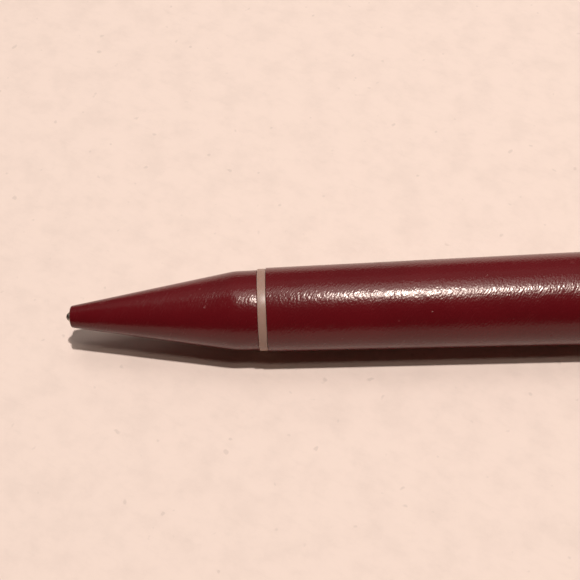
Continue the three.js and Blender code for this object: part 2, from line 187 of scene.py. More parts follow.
class PenStage(bpy.types.PropertyGroup):
    """The camera and the lights."""

    elevation: FloatProperty(
        name="Camera elevation", description="Height of the view above the horizon",
        default=60 * DEG, unit="ROTATION",
    )
    roll: FloatProperty(
        name="Camera roll", description="Turn of the view about its own axis",
        default=2.08 * DEG, unit="ROTATION",
    )
    distance: FloatProperty(
        name="Camera distance", description="From the camera to the point it looks at",
        default=0.1179, unit="LENGTH",
    )
    lens: FloatProperty(name="Lens", description="Focal length, in millimetres", default=65.2, subtype="NONE")
    aim_s: FloatProperty(
        name="Aim", description="Place along the pen that the camera looks at, in millimetres behind the tip",
        default=24.4,
    )
    aim_side: FloatProperty(
        name="Aim side", description="How far behind the pen's axis the camera looks, in millimetres",
        default=2.41,
    )
    key_power: FloatProperty(
        name="Key power", description="Power of the lamp overhead", default=3.2, unit="POWER"
    )
    key_height: FloatProperty(
        name="Key height", description="Height of the lamp above the pen", default=0.62, unit="LENGTH"
    )
    key_tilt: FloatProperty(
        name="Key tilt", description="Tilt of the lamp overhead, to behind the pen",
        default=0.83 * DEG, unit="ROTATION",
    )
    key_size: FloatProperty(
        name="Key size", description="Width of the lamp overhead", default=0.024, unit="LENGTH"
    )
    side_share: FloatProperty(
        name="Side share", description="Power of the lamp in front, as a share of the key's",
        default=0.115, min=0,
    )
    side_tilt: FloatProperty(
        name="Side tilt", description="Tilt of the lamp in front, from overhead",
        default=-6.7 * DEG, unit="ROTATION",
    )
    side_size: FloatProperty(
        name="Side size", description="Width of the lamp in front", default=0.06, unit="LENGTH"
    )
    glow_power: FloatProperty(
        name="Glow power", description="Power of the soft lamp just behind the key",
        default=0.60, unit="POWER",
    )
    glow_tilt: FloatProperty(
        name="Glow tilt", description="Tilt of the soft lamp from overhead",
        default=19 * DEG, unit="ROTATION",
    )
    glow_size: FloatProperty(
        name="Glow size", description="Depth of the soft lamp", default=0.24, unit="LENGTH"
    )
    back_power: FloatProperty(
        name="Back power", description="Power of the wide lamp behind the pen",
        default=0.42, unit="POWER",
    )
    back_tilt: FloatProperty(
        name="Back tilt", description="Tilt of the wide lamp from overhead",
        default=36 * DEG, unit="ROTATION",
    )
    back_size: FloatProperty(
        name="Back size", description="Depth of the wide lamp", default=0.40, unit="LENGTH"
    )
    fill_strength: FloatProperty(
        name="Fill strength", description="Strength of the room's own light", default=0.034, min=0
    )


# ---------------------------------------------------------------- outlines and surfaces


def fillet(points, radius, steps=5):
    """Rounds the corners of an outline of [s, r] points: each corner is replaced by the arc of the given
    radius that touches both of its sides, shortened where a side is too short. The ends stay."""
    points = np.asarray(points, float)
    before, corner, after = points[:-2], points[1:-1], points[2:]
    radius = np.broadcast_to(np.asarray(radius, float), len(corner))[:, None]
    to_before = before - corner
    to_after = after - corner
    len_before = np.linalg.norm(to_before, axis=1, keepdims=True)
    len_after = np.linalg.norm(to_after, axis=1, keepdims=True)
    to_before = to_before / len_before
    to_after = to_after / len_after
    cosine = np.clip((to_before * to_after).sum(1, keepdims=True), -1, 1)
    half = np.arccos(cosine) / 2
    reach = np.minimum(radius / np.tan(np.maximum(half, 1e-4)), 0.45 * np.minimum(len_before, len_after))
    arc_radius = reach * np.tan(half)
    middle = to_before + to_after
    length = np.linalg.norm(middle, axis=1, keepdims=True)
    middle = middle / np.maximum(length, 1e-9)
    centre = corner + middle * arc_radius / np.maximum(np.sin(half), 1e-6)
    start = corner + to_before * reach
    end = corner + to_after * reach
    t = np.linspace(0, 1, steps)[None, :, None]
    spoke_a, spoke_b = (start - centre)[:, None, :], (end - centre)[:, None, :]
    sweep = (math.pi - 2 * half)[:, None, :]
    sine = np.maximum(np.sin(sweep), 1e-6)
    arcs = centre[:, None, :] + (np.sin((1 - t) * sweep) * spoke_a + np.sin(t * sweep) * spoke_b) / sine
    straight = (1 - t) * start[:, None, :] + t * end[:, None, :]
    arcs = np.where(half[:, None, :] > 0.499 * math.pi, straight, arcs)
    return np.vstack([points[:1], arcs.reshape(-1, 2), points[-1:]])


def around(sides):
    """Evenly spaced angles round the axis, starting at its underside, where the seam of the UV map lies."""
    return -math.pi / 2 + 2 * math.pi * np.arange(sides) / sides


def place(s, radius, angle):
    """Metres in the shared frame of points given by s, distance from the axis and angle round it."""
    x = (TIP_X + s) * MM
    y = (AXIS_Y + radius * np.cos(angle)) * MM
    z = (AXIS_Z + radius * np.sin(angle)) * MM
    return np.stack(np.broadcast_arrays(x, y, z), axis=-1)


def grid_faces(rows, columns, close_rows=False):
    """Quads of a grid of rows by columns whose columns run all the way round."""
    last = rows if close_rows else rows - 1
    row = np.arange(last)[:, None]
    column = np.arange(columns)[None, :]
    next_row, next_column = (row + 1) % rows, (column + 1) % columns
    corners = [row * columns + column, row * columns + next_column]
    corners += [next_row * columns + next_column, next_row * columns + column]
    return np.stack(np.broadcast_arrays(*corners), axis=-1).reshape(-1, 4)


def surface_of(grid, uv, close_rows=False):
    """A closed surface from a grid of points, rows along the pen and columns round it. A first or last row
    may shrink to a point. The UV map comes as the place of each point, in millimetres, and the length of a
    lap there, which is added where the last column meets the first again."""
    rows, columns = grid.shape[:2]
    faces = grid_faces(rows, columns, close_rows)
    loops = faces.reshape(-1)
    last_column = np.tile(np.arange(columns) == columns - 1, len(faces) // columns)
    wraps = np.outer(last_column, [False, True, True, False]).reshape(-1)
    place_mm, lap_mm = uv
    flat_uv = place_mm.reshape(-1, 2)[loops].copy()
    flat_uv[wraps, 1] += lap_mm.reshape(-1)[loops][wraps]
    return {"vertices": grid.reshape(-1, 3), "faces": faces, "uv": flat_uv}


def revolve(outline, sides, change=None, close=False):
    """A turned surface: the point (s, r) of an outline goes round the axis at every angle. change(s, r,
    angle) may move each point along the axis and away from it, which gives threads, teeth and ribs."""
    outline = np.asarray(outline, float)
    angle = around(sides)[None, :]
    s = outline[:, :1] + 0 * angle
    radius = outline[:, 1:] + 0 * angle
    if change is not None:
        s, radius = change(s, radius, angle + 0 * s)
    run = np.concatenate([[0], np.cumsum(np.linalg.norm(np.diff(outline, axis=0), axis=1))])
    scale = np.maximum(outline[:, 1:], LEAST_MAP_RADIUS)
    uv = np.stack([run[:, None] + 0 * angle, scale * (angle + math.pi / 2)], axis=-1)
    return surface_of(place(s, radius, angle), (uv, 2 * math.pi * scale + 0 * angle), close)


def rounded_section(half_width, half_height, corner, steps=7):
    """Points of rounded rectangles: four quarter circles of the corner's radius, one after the other, each
    round the centre that lies a radius in from both sides. The sizes are columns, and a row is a section."""
    quadrant = np.repeat(np.arange(4), steps)[None, :]
    angle = (np.tile(np.linspace(0, math.pi / 2, steps), 4) + quadrant[0] * math.pi / 2)[None, :]
    side_x = np.where((quadrant == 0) | (quadrant == 3), 1.0, -1.0)
    side_y = np.where(quadrant < 2, 1.0, -1.0)
    across = side_x * (half_width - corner) + corner * np.cos(angle)
    up = side_y * (half_height - corner) + corner * np.sin(angle)
    return across, up


def loft(stations):
    """A bar in the clip's plane: stations are rows of [s, height of the middle above the pen's axis, half
    width, half height, corner radius], and a rounded rectangle runs through them all."""
    stations = np.asarray(stations, float)
    s, middle, half_width, half_height, corner = (stations[:, k : k + 1] for k in range(5))
    corner = np.minimum(corner, 0.98 * np.minimum(half_width, half_height))
    across, up = rounded_section(half_width, half_height, corner)
    height = middle + up
    cosine, sine = math.cos(CLIP_ANGLE), math.sin(CLIP_ANGLE)
    x = (TIP_X + s + 0 * across) * MM
    y = (AXIS_Y + height * cosine - across * sine) * MM
    z = (AXIS_Z + height * sine + across * cosine) * MM
    grid = np.stack([x, y, z], axis=-1)
    run = np.concatenate([[0], np.cumsum(np.linalg.norm(np.diff(stations[:, :2], axis=0), axis=1))])
    columns = across.shape[1]
    steps = np.linalg.norm(np.diff(np.stack([across, up], -1), axis=1, append=0), axis=-1)
    lap = np.concatenate([np.zeros((len(s), 1)), np.cumsum(steps[:, : columns - 1], axis=1)], axis=1)
    uv = np.stack([run[:, None] + 0 * lap, lap], axis=-1)
    return surface_of(grid, (uv, lap[:, -1:] + 0 * lap))


def joined(surfaces):
    """Several closed surfaces as one."""
    counts = np.cumsum([0] + [len(part["vertices"]) for part in surfaces])
    return {
        "vertices": np.vstack([part["vertices"] for part in surfaces]),
        "faces": np.vstack([part["faces"] + shift for part, shift in zip(surfaces, counts)]),
        "uv": np.vstack([part["uv"] for part in surfaces]),
    }


def make_piece(name, surface, material):
    """Puts a surface into a mesh object, closes its poles, gives it its finish, and lets it stand for the CAD
    node of the same name on that node's body."""
    mesh = bpy.data.meshes.new(name)
    vertices, faces, uv = surface["vertices"], surface["faces"], surface["uv"]
    mesh.vertices.add(len(vertices))
    mesh.vertices.foreach_set("co", vertices.astype(np.float32).ravel())
    mesh.loops.add(faces.size)
    mesh.loops.foreach_set("vertex_index", faces.astype(np.int32).ravel())
    mesh.polygons.add(len(faces))
    mesh.polygons.foreach_set("loop_start", np.arange(0, faces.size, 4, dtype=np.int32))
    layer = mesh.uv_layers.new(name="surface_mm")
    layer.data.foreach_set("uv", uv.astype(np.float32).ravel())
    mesh.update(calc_edges=True)
    mesh.validate()
    close_and_merge(mesh)
    mesh.polygons.foreach_set("use_smooth", np.ones(len(mesh.polygons), bool))
    mesh.set_sharp_from_angle(angle=SHARP_ANGLE)
    mesh.materials.append(material)
    piece = bpy.data.objects.new(name, mesh)
    bpy.context.scene.collection.objects.link(piece)
    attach(piece, body_of(name))
    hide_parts(name.removeprefix("fine_"))
    return piece


def close_and_merge(mesh):
    """Merges points that coincide, which closes every pole, and turns all faces outwards."""
    shape = bmesh.new()
    shape.from_mesh(mesh)
    bmesh.ops.remove_doubles(shape, verts=shape.verts, dist=1e-7)
    bmesh.ops.recalc_face_normals(shape, faces=shape.faces)
    shape.to_mesh(mesh)
    shape.free()


def body_of(piece_name):
    """The body that the CAD node of a fine piece belongs to."""
    return frame["nodes"][piece_name.removeprefix("fine_")]["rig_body"]


# ---------------------------------------------------------------- shaders


class Socket:
    """A shader value with arithmetic: an expression on it adds the Math nodes that work it out."""

    def __init__(self, tree, link):
        self.tree = tree
        self.link = link

    def node(self, kind, output=0, settings=None, **inputs):
        """Adds a node of a type, sets its settings, then feeds its sockets with values or links, and wraps
        one output. An input's name has underscores for spaces, or is its number after an underscore."""
        made = self.tree.nodes.new(kind)
        for name, value in (settings or {}).items():
            setattr(made, name, value)
        for name, value in inputs.items():
            key = int(name[1:]) if name[0] == "_" else name.replace("_", " ")
            if isinstance(value, Socket):
                self.tree.links.new(value.link, made.inputs[key])
            else:
                made.inputs[key].default_value = value
        return Socket(self.tree, made.outputs[output])

    def maths(self, operation, *values, clamp=False):
        """One Math node."""
        inputs = {f"_{k}": value for k, value in enumerate(values)}
        return self.node("ShaderNodeMath", settings={"operation": operation, "use_clamp": clamp}, **inputs)

    def __add__(self, other):
        return self.maths("ADD", self, other)

    __radd__ = __add__

    def __mul__(self, other):
        return self.maths("MULTIPLY", self, other)

    __rmul__ = __mul__

    def __sub__(self, other):
        return self.maths("SUBTRACT", self, other)

    def __rsub__(self, other):
        return self.maths("SUBTRACT", other, self)

    def clamped(self):
        """The value kept between 0 and 1."""
        return self.maths("ADD", self, 0.0, clamp=True)

    def between(self, low, high):
        """0 up to low, 1 from high, and smooth in between."""
        inputs = {"_0": self, "_1": low, "_2": high}
        return self.node("ShaderNodeMapRange", settings={"interpolation_type": "SMOOTHSTEP"}, **inputs)

    def noise(self, scale, detail=2.0, roughness=0.5):
        """Noise read at this vector."""
        return self.node("ShaderNodeTexNoise", Vector=self, Scale=scale, Detail=detail, Roughness=roughness)

    def stretched(self, turn, scale):
        """This vector turned about Z and then scaled, for grain that runs one way."""
        turned_vector = self.node("ShaderNodeMapping", Vector=self, Rotation=(0, 0, turn))
        return self.node("ShaderNodeMapping", Vector=turned_vector, Scale=scale)

    def mixed(self, first, second):
        """The first colour where this value is 0 and the second where it is 1."""
        inputs = {"_0": self, "_6": first, "_7": second}
        return self.node("ShaderNodeMix", output=2, settings={"data_type": "RGBA"}, **inputs)


class Finish:
    """A material with one Principled shader, and the places that its patterns are read at."""

    def __init__(self, name, **constants):
        self.material = bpy.data.materials.new(name)
        self.material.use_nodes = True
        self.tree = self.material.node_tree
        self.shader = self.tree.nodes["Principled BSDF"]
        for key, value in constants.items():
            self.shader.inputs[key.replace("_", " ")].default_value = value
        coordinates = self.tree.nodes.new("ShaderNodeTexCoord")
        self.uv = Socket(self.tree, coordinates.outputs["UV"])
        self.place = Socket(self.tree, coordinates.outputs["Object"])

    def feed(self, key, value):
        """Links a value to a socket of the shader."""
        self.tree.links.new(value.link, self.shader.inputs[key])

    def bump(self, height, depth_mm, strength=1.0):
        """Raises the surface by a height of 0 to 1 times a depth."""
        bumped = height.node("ShaderNodeBump", Height=height, Strength=strength, Distance=depth_mm * MM)
        self.feed("Normal", bumped)


def colour4(colour):
    """A colour with full alpha."""
    return (*colour, 1.0)


def shade(colour, factor):
    """A colour made lighter or darker."""
    return tuple(min(1.0, channel * factor) for channel in colour)


def scratches(uv, turn, per_mm, share):
    """Fine straight scratches: noise drawn out along one direction, of which only the crests stay. The UV map
    is in millimetres. A second, slower noise breaks them into short runs."""
    lines = uv.stretched(turn, (per_mm * 0.05, per_mm, 1)).noise(1.0, detail=1.0)
    gaps = uv.noise(0.9, detail=2.0)
    return lines.between(1 - share, 1 - share + 0.10) * gaps.between(0.42, 0.60)


def burgundy_plastic():
    """Gloss plastic that has been carried about: a slanting and a pebbled grain, a soft orange peel, hairline
    scratches that cross each other, dull rubbed patches and a few small nicks."""
    look = bpy.context.scene.pen_finish
    finish = Finish(
        "burgundy_plastic", IOR=1.48, Specular_IOR_Level=0.42, Specular_Tint=(1.0, 0.90, 0.84, 1)
    )
    uv = finish.uv
    slant = 58 * DEG
    rubbed = uv.noise(0.22, detail=4.0, roughness=0.62).between(0.38, 0.66)
    slanting = uv.stretched(slant, (2.3, 5.0, 1)).noise(1.0, detail=0.0)
    pebbled = uv.noise(4.4, detail=0.0)
    hairlines = scratches(uv, slant, 11.0, 0.44) + scratches(uv, 41 * DEG, 17.0, 0.42)
    hairlines = (hairlines + 0.6 * scratches(uv, -52 * DEG, 12.0, 0.40)).clamped()
    peel = uv.noise(1.6, detail=2.0)
    nick = uv.noise(1.15, detail=0.0).between(0.80, 0.84)
    tone = uv.noise(0.12, detail=3.0)
    base, deep = colour4(look.body_colour), colour4(shade(look.body_colour, 0.88))
    worn = colour4(shade(look.body_colour, 1.4))
    colour = tone.between(0.3, 0.7).mixed(deep, base)
    colour = (hairlines * 0.10 + nick * 0.3).clamped().mixed(colour, worn)
    finish.feed("Base Color", colour)
    rough = look.body_roughness + 0.04 * rubbed + 0.05 * hairlines + 0.2 * nick
    finish.feed("Roughness", rough.clamped())
    grain = slanting * 0.36 + pebbled * 0.26
    height = 0.2 + 0.04 * peel + grain * (0.56 + 0.16 * rubbed) - 0.03 * hairlines - 0.3 * nick
    finish.bump(height, 0.08)
    return finish.material


def white_plastic():
    """Off-white moulded plastic that lets a little light into its edges."""
    look = bpy.context.scene.pen_finish
    finish = Finish(
        "white_plastic", IOR=1.42, Subsurface_Weight=0.5, Subsurface_Radius=(1.0, 0.7, 0.5),
        Subsurface_Scale=0.5 * MM,
    )
    uv = finish.uv
    tone = uv.noise(0.5, detail=3.0)
    base, grubby = colour4(look.trim_colour), colour4(shade(look.trim_colour, 0.84))
    hairlines = scratches(uv, 25 * DEG, 12.0, 0.42)
    colour = (tone.between(0.35, 0.75) * 0.5 + hairlines * 0.35).clamped().mixed(base, grubby)
    finish.feed("Base Color", colour)
    finish.feed("Roughness", (0.32 + 0.10 * tone + 0.12 * hairlines).clamped())
    finish.bump(0.5 + 0.3 * uv.noise(1.4, detail=2.0) - 0.3 * hairlines, 0.01)
    return finish.material


def latch_plastic():
    """Waxy natural plastic of the latch, with fine turned-in mould marks."""
    finish = Finish("latch_plastic", IOR=1.5, Subsurface_Weight=0.2, Subsurface_Scale=0.5 * MM)
    tone = finish.uv.noise(0.8, detail=3.0)
    finish.feed("Base Color", tone.between(0.3, 0.7).mixed((0.50, 0.47, 0.40, 1), (0.62, 0.60, 0.53, 1)))
    finish.feed("Roughness", (0.42 + 0.12 * tone).clamped())
    finish.bump(finish.uv.stretched(0, (9.0, 0.4, 1)).noise(1.0), 0.006)
    return finish.material


def refill_plastic():
    """Natural plastic of the point's holder and the tail plug."""
    finish = Finish("refill_plastic", IOR=1.5, Subsurface_Weight=0.3, Subsurface_Scale=0.4 * MM)
    tone = finish.uv.noise(1.1, detail=2.0)
    finish.feed("Base Color", tone.between(0.3, 0.7).mixed((0.60, 0.57, 0.49, 1), (0.70, 0.68, 0.61, 1)))
    finish.feed("Roughness", (0.36 + 0.1 * tone).clamped())
    finish.bump(finish.uv.noise(2.2), 0.006)
    return finish.material


def tube_plastic():
    """Milky extruded tube: the ink shows through it, with faint lines along its length."""
    finish = Finish("tube_plastic", IOR=1.49, Base_Color=(0.86, 0.85, 0.80, 1))
    lines = finish.uv.stretched(0, (0.05, 6.0, 1)).noise(1.0)
    finish.feed("Alpha", (0.34 + 0.14 * lines).clamped())
    finish.feed("Roughness", (0.16 + 0.10 * lines).clamped())
    finish.bump(lines, 0.006)
    return finish.material


def ink():
    """Thick ink paste, streaked darker and lighter where it drags along the tube's wall."""
    look = bpy.context.scene.pen_finish
    finish = Finish("ink", IOR=1.45)
    streaks = finish.uv.stretched(0, (0.15, 2.0, 1)).noise(1.0, detail=3.0)
    dark, light = colour4(look.ink_colour), colour4(shade(look.ink_colour, 2.2))
    finish.feed("Base Color", streaks.between(0.4, 0.8).mixed(dark, light))
    finish.feed("Roughness", (0.10 + 0.2 * streaks).clamped())
    finish.bump(streaks, 0.01)
    return finish.material


def turned_metal(name, colour, roughness, lines_per_mm, depth):
    """Metal off a small lathe: fine rings round it, tarnished a little in patches."""
    finish = Finish(name, Metallic=1.0)
    rings = finish.uv.stretched(0, (lines_per_mm, 0.06, 1)).noise(1.0, detail=3.0)
    tarnish = finish.uv.noise(0.9, detail=3.0).between(0.45, 0.75)
    finish.feed("Base Color", tarnish.mixed(colour4(colour), colour4(shade(colour, 0.72))))
    finish.feed("Roughness", (roughness + 0.12 * rings + 0.12 * tarnish).clamped())
    finish.bump(rings, depth)
    return finish.material


def paper():
    """Matt sheet with faint, wide mottling and a few darker specks of pulp."""
    look = bpy.context.scene.pen_finish
    finish = Finish("paper", Roughness=0.9, IOR=1.4)
    place_mm = finish.place.node("ShaderNodeMapping", Vector=finish.place, Scale=(1000, 1000, 1000))
    cloud = place_mm.noise(0.28, detail=5.0, roughness=0.6)
    fibre = place_mm.stretched(0.5, (0.5, 1.1, 1)).noise(1.0, detail=4.0, roughness=0.6)
    speck = place_mm.noise(0.75, detail=1.5).between(0.70, 0.77)
    base, darker = colour4(look.paper_colour), colour4(shade(look.paper_colour, 0.90))
    colour = (cloud.between(0.40, 0.70) * 0.5 + fibre.between(0.45, 0.8) * 0.35).clamped().mixed(base, darker)
    colour = (speck * 0.45).mixed(colour, colour4(shade(look.paper_colour, 0.70)))
    finish.feed("Base Color", colour)
    finish.bump(cloud * 0.6 + fibre * 0.4, 0.05, strength=0.5)
    return finish.material


def material(name):
    """A finish by name, made the first time that it is asked for."""
    look = bpy.context.scene.pen_finish
    made = bpy.data.materials.get(name)
    if made is not None and made.get("pen_finish"):
        return made
    makers = {
        "burgundy_plastic": burgundy_plastic,
        "white_plastic": white_plastic,
        "latch_plastic": latch_plastic,
        "refill_plastic": refill_plastic,
        "tube_plastic": tube_plastic,
        "ink": ink,
        "nickel_silver": lambda: turned_metal("nickel_silver", look.metal_colour, 0.24, 22.0, 0.004),
        "carbide_ball": lambda: turned_metal("carbide_ball", (0.15, 0.13, 0.12), 0.16, 6.0, 0.001),
        "spring_steel": lambda: turned_metal("spring_steel", (0.52, 0.52, 0.50), 0.26, 4.0, 0.002),
        "paper": paper,
    }
    made = makers[name]()
    made["pen_finish"] = True
    return made


# ---------------------------------------------------------------- the pieces' shapes

CONE_SLOPE = 0.1747  # rise of the cone's side per millimetre, from its mouth to its shoulder
CONE_MOUTH = 1.2  # radius where the side would meet the front face
CONE_SHOULDER = 18.28  # where the straight side ends
CONE_REAR_RADIUS = 4.43
CONE_REAR = RING_LOW[0] - TIP_X
SPIGOT_END = CONE_HIGH[0] - TIP_X
THREAD_START, THREAD_END = 22.6, 27.3
THREAD_ROOT = 3.35
THREAD_GAP = 0.12  # between the thread's crests and the barrel's grooves
THREAD_ROWS = 91
RING_BORE = 3.86  # clears the thread's crests
BARREL_FRONT = BARREL_LOW[0] - TIP_X
BARREL_REAR = BARREL_HIGH[0] - TIP_X
BARREL_FRONT_RADIUS = 4.65
BARREL_TAPER = 0.0145  # rise of the barrel's side per millimetre
TAPER_END = 66.0
BARREL_BORE = 3.6
REAR_EDGE = 5.15  # radius of the edges where the barrel meets its collar
COLLAR_REAR = COLLAR_HIGH[0] - TIP_X
COLLAR_FRONT = COLLAR_LOW[0] - TIP_X
BUTTON_FRONT = BUTTON_LOW[0] - TIP_X
BUTTON_REAR = BUTTON_HIGH[0] - TIP_X
CLIP_FRONT = CLIP_LOW[0] - TIP_X
TONGUE_END = CLIP_HIGH[0] - TIP_X
TUBE_FRONT = TUBE_LOW[0] - TIP_X
TUBE_REAR = TUBE_HIGH[0] - TIP_X
TUBE_RADIUS = 1.5
TUBE_BORE = 1.06
TUBE_FILL = 1.04  # radius of what sits in the tube's bore
SPRING_SEAT = 9.0  # the step in the cone that the spring stands on
BALL_CENTRE = -0.04
BALL_RADIUS = 0.5
HOLDER_FLANGE = 24.0
POINT_REAR = 18.0
RIB_TIP = 114.0  # rear ends of the rotor's ribs
STOP_FRONT, STOP_REAR = 111.0, 119.5
TOOTH_HALF = 22.5 * DEG  # half the turn from one of the eight teeth to the next
TOOTH_RISE = 1 / TOOTH_HALF  # rise of a tooth's flank, in millimetres per radian
CREST_ANGLE = -2.25 * DEG  # direction of one of the teeth's crests
RIB_STEP = 90 * DEG  # from one of the four ribs, stops or lugs to the next
TONGUE_HEIGHT = 7.4  # of the tongue and its pocket above the pen's axis
CLOSED = (0.001, 0.001, 0.0005)  # half width, half height and corner of a section that closes a bar's end
LATCH_SIDES, REFILL_SIDES, SMALL_SIDES = 240, 72, 48


def angle_from(angle, middle, repeat=2 * math.pi):
    """Signed angle from the nearest of a ring of directions: the middle, and every repeat from it."""
    return (angle - middle + repeat / 2) % repeat - repeat / 2


def step_up(value, low, high):
    """0 up to low, 1 from high, and a smooth cubic ramp between."""
    t = np.clip((value - low) / (high - low), 0, 1)
    return t * t * (3 - 2 * t)


def thread_ridge(s, angle):
    """Height of the thread, 0 to 1, as a cosine that advances one pitch along the axis in each turn, and the
    share of it that is left, which fades out over half a pitch at both ends of the threaded stretch."""
    pitch = bpy.context.scene.pen_shape.thread_pitch
    wave = 0.5 + 0.5 * np.cos(2 * math.pi * s / pitch - angle)
    ends = np.minimum(s - THREAD_START, THREAD_END - s)
    return wave, step_up(ends, 0, pitch / 2)


def threaded_rows(radius, front_first=True):
    """Points close enough together along the axis to carry the thread."""
    s = np.linspace(THREAD_START, THREAD_END, THREAD_ROWS)
    rows = np.stack([s, np.full_like(s, radius)], axis=-1)
    return rows if front_first else rows[::-1]


def cone_surface():
    """The nose cone: a straight taper to a soft shoulder, a short collar, the threaded spigot, and inside it
    the point's channel and the step that the spring stands on."""
    shape = bpy.context.scene.pen_shape

    def side(s):
        return CONE_MOUTH + CONE_SLOPE * s

    hole, channel, bore, chamfer = 0.76, 1.3, 2.6, 0.3
    inside = [14, 2.32]
    front = [inside, [12, 2.2], [SPRING_SEAT, 2.12], [SPRING_SEAT, channel], [3.4, channel], [2.6, hole]]
    front += [[0, hole], [0, side(0)], [6, side(6)]]
    mouth = fillet(front, [0.1, 0.1, 0.1, 0.2, 0.2, 0.05, 0.26], 8)
    start = [CONE_REAR - 1, CONE_REAR_RADIUS - 0.022]
    shoulder = fillet([[6, side(6)], [CONE_SHOULDER, side(CONE_SHOULDER)], start], 7.0, 9)
    rear_edge = CONE_REAR - shape.seam
    collar = [start, [rear_edge, CONE_REAR_RADIUS], [rear_edge, THREAD_ROOT]]
    collar = fillet(collar + [[THREAD_START, THREAD_ROOT]], [shape.edge_round, 0.15], 5)
    rear = [[THREAD_END, THREAD_ROOT], [SPIGOT_END - chamfer, THREAD_ROOT]]
    rear += [[SPIGOT_END, THREAD_ROOT - chamfer], [SPIGOT_END, bore], [18, bore], inside]
    rear = fillet(rear, 0.1, 4)
    outline = np.vstack([mouth, shoulder, collar[:-1], threaded_rows(THREAD_ROOT), rear[1:-1]])

    def raise_thread(s, radius, angle):
        wave, fade = thread_ridge(s, angle)
        on_root = (np.abs(radius - THREAD_ROOT) < 1e-6) & (fade > 0)
        return s, radius + np.where(on_root, shape.thread_depth * fade * wave, 0)

    return revolve(outline, shape.sides, raise_thread, close=True)


def ring_surface():
    """The trim ring: a flat band with rounded edges, bored out to clear the thread."""
    shape = bpy.context.scene.pen_shape
    front, rear = RING_LOW[0] - TIP_X, RING_HIGH[0] - TIP_X
    radius = (RING_HIGH[2] - RING_LOW[2]) / 2
    inside = [(front + rear) / 2, RING_BORE]
    outline = [inside, [front, RING_BORE], [front, radius], [rear, radius], [rear, RING_BORE], inside]
    outline = fillet(outline, [0.08, shape.edge_round, shape.edge_round, 0.08], 7)[:-1]
    return revolve(outline, shape.sides, close=True)


def barrel_surface():
    """The barrel: it widens straight to past its middle, eases to a constant radius and draws in a little at
    the rear. Its bore has the nose thread in front and four slant-ended stops at the latch."""
    shape = bpy.context.scene.pen_shape
    open_radius = THREAD_ROOT + shape.thread_depth + THREAD_GAP
    widest, stop_height, stop_half = shape.barrel_radius, 0.84, 12.5 * DEG

    def side(s):
        return BARREL_FRONT_RADIUS + BARREL_TAPER * (s - BARREL_FRONT)

    mouth = [[70, BARREL_BORE], [SPIGOT_END + 0.4, BARREL_BORE], [SPIGOT_END + 0.2, open_radius]]
    mouth = fillet(mouth + [[THREAD_END, open_radius]], 0.08, 4)
    lip = [[THREAD_START, open_radius], [THREAD_START - 0.2, open_radius], [BARREL_FRONT, open_radius + 0.1]]
    lip += [[BARREL_FRONT, BARREL_FRONT_RADIUS], [30, side(30)]]
    lip = fillet(lip, [0.05, 0.05, shape.edge_round], 6)
    ease_start, ease_length = TAPER_END - 6, 18
    t = np.linspace(0, 1, 14)[:, None]
    ease_radius = widest - (widest - side(ease_start)) * (1 - t) ** 3.2
    ease = np.hstack([ease_start + ease_length * t, ease_radius])
    rear = [[100, widest], [BARREL_REAR - 8, widest], [BARREL_REAR - 2.4, widest - 0.05]]
    rear += [[BARREL_REAR, REAR_EDGE], [BARREL_REAR, BARREL_BORE], [STOP_REAR + 0.2, BARREL_BORE]]
    rear = fillet(rear, [4, 1.5, shape.edge_round, 0.1], 7)
    stop_s = [[STOP_REAR + 0.15], np.linspace(STOP_REAR, STOP_FRONT + 1, 6)]
    stop_s = np.concatenate(stop_s + [np.linspace(STOP_FRONT + 0.9, STOP_FRONT - 0.9, 25)])
    stops = np.stack([stop_s, np.full_like(stop_s, BARREL_BORE)], axis=-1)
    outline = np.vstack([mouth[:-1], threaded_rows(open_radius, False), lip[1:], ease, rear, stops])

    def cut_bore(s, radius, angle):
        wave, fade = thread_ridge(s, angle)
        on_thread = (np.abs(radius - open_radius) < 1e-6) & (fade > 0)
        radius = radius - np.where(on_thread, shape.thread_depth * fade * (1 - wave), 0)
        past = angle_from(angle, math.pi / 4, RIB_STEP)
        slanted = s - STOP_FRONT - TOOTH_RISE * np.clip(past, -stop_half, stop_half)
        lengthwise = step_up(slanted, -0.02, 0.12) * step_up(STOP_REAR + 0.08 - s, 0, 0.08)
        sideways = step_up(14 * DEG - np.abs(past), 0, 2 * DEG)
        in_bore = (np.abs(radius - BARREL_BORE) < 1e-6) & (s > 105) & (s < STOP_REAR + 0.19)
        return s, radius - np.where(in_bore, stop_height * lengthwise * sideways, 0)

    return revolve(outline, shape.sides, cut_bore, close=True)


def rounded_end(s, middle, half_width, half_height, step, corner):
    """Sections that round the edge of a bar's end by a quarter circle, from the flat face at s to the sides.
    The circle's radius is the step along the pen that it takes, which is negative where the bar runs
    forwards."""
    sections = []
    for a in np.linspace(0, math.pi / 2, 6):
        along = s + step * (1 - math.cos(a))
        inset = abs(step) * (1 - math.sin(a))
        sections.append([along, middle, half_width - inset, half_height - inset, corner])
    return sections


